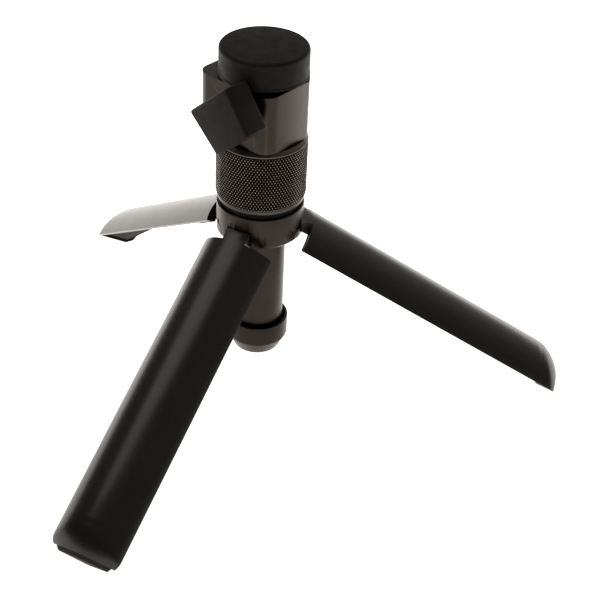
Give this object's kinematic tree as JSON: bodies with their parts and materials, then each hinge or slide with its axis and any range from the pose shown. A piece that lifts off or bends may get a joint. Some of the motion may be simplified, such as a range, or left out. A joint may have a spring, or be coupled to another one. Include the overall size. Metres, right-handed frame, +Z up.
{
  "type": "tabletop tripod hand grip",
  "caption": "Hand grip whose three channel-section legs open into a small tripod, with a knurled lock ring, ball-bearing swivel head, clamp knob and capped camera screw.",
  "frame": {"origin": "on the ground, on the column's axis, midway between the three feet with the legs open", "axes": "+Z up along the column and the camera screw; +X along leg 1, with legs 2 and 3 at 120 and 240 degrees"},
  "size_m": [0.1845, 0.21, 0.1424],
  "materials": {
    "satin_gunmetal": "satin dark bronze-grey anodised",
    "black_anodised": "satin black anodised",
    "black_plastic": "fine matt moulded",
    "black_rubber": "matt",
    "bright_steel": "turned",
    "brass": "turned"
  },
  "bodies": {
    "base": {"hub": "satin_gunmetal", "column_tube": "satin_gunmetal", "foot_ring": "satin_gunmetal", "end_plug": "black_plastic", "hinge_pins": "bright_steel", "spindle": "bright_steel", "spindle_screw": "bright_steel", "spindle_washer": "bright_steel", "spacer_ring": "black_plastic", "bearing_inner_races": "bright_steel", "bearing_spacer": "bright_steel", "bearing_balls": "bright_steel", "spindle_nut": "bright_steel"},
    "leg_1": {"leg_1_channel": "black_anodised", "leg_1_liner": "black_plastic", "leg_1_insert": "black_plastic", "leg_1_foot": "black_rubber"},
    "leg_2": {"leg_2_channel": "black_anodised", "leg_2_liner": "black_plastic", "leg_2_insert": "black_plastic", "leg_2_foot": "black_rubber"},
    "leg_3": {"leg_3_channel": "black_anodised", "leg_3_liner": "black_plastic", "leg_3_insert": "black_plastic", "leg_3_foot": "black_rubber"},
    "ring": {"lock_ring": "satin_gunmetal", "bevel_ring": "satin_gunmetal"},
    "head": {"head_housing": "satin_gunmetal", "bearing_sleeve": "bright_steel", "bearing_outer_races": "bright_steel", "bearing_shields": "bright_steel", "knob_bush": "brass", "platform_washer": "black_plastic"},
    "knob": {"lock_knob": "black_rubber", "knob_screw": "bright_steel", "brake_tip": "brass"},
    "platform": {"camera_platform": "satin_gunmetal", "camera_stud": "bright_steel", "platform_pad": "black_rubber"},
    "cap": {"screw_cap": "black_rubber"}
  },
  "joints": [
    {"name": "leg_1_fold", "type": "hinge", "parent": "base", "child": "leg_1", "pos_m": [0.0121, 0, 0.07623], "axis": [0, 1, 0], "range_deg": [0, 57.5]},
    {"name": "leg_2_fold", "type": "hinge", "parent": "base", "child": "leg_2", "pos_m": [-0.00605, 0.01048, 0.07623], "axis": [-0.866, -0.5, 0], "range_deg": [0, 57.5]},
    {"name": "leg_3_fold", "type": "hinge", "parent": "base", "child": "leg_3", "pos_m": [-0.00605, -0.01048, 0.07623], "axis": [0.866, -0.5, 0], "range_deg": [0, 57.5]},
    {"name": "ring_turn", "type": "hinge", "parent": "base", "child": "ring", "pos_m": [0, 0, 0.08543], "axis": [0, 0, 1], "range_deg": [0, 90]},
    {"name": "head_turn", "type": "hinge", "parent": "base", "child": "head", "pos_m": [0, 0, 0.11028], "axis": [0, 0, 1], "continuous": true},
    {"name": "knob_turn", "type": "hinge", "parent": "head", "child": "knob", "pos_m": [-0.00895, -0.0097, 0.12073], "axis": [-0.6782, -0.7349, 0], "range_deg": [0, 180]},
    {"name": "platform_turn", "type": "hinge", "parent": "head", "child": "platform", "pos_m": [0, 0, 0.13123], "axis": [0, 0, 1], "continuous": true},
    {"name": "cap_lift", "type": "slide", "parent": "platform", "child": "cap", "axis": [0, 0, 1], "range_m": [0, 0.025]}
  ]
}
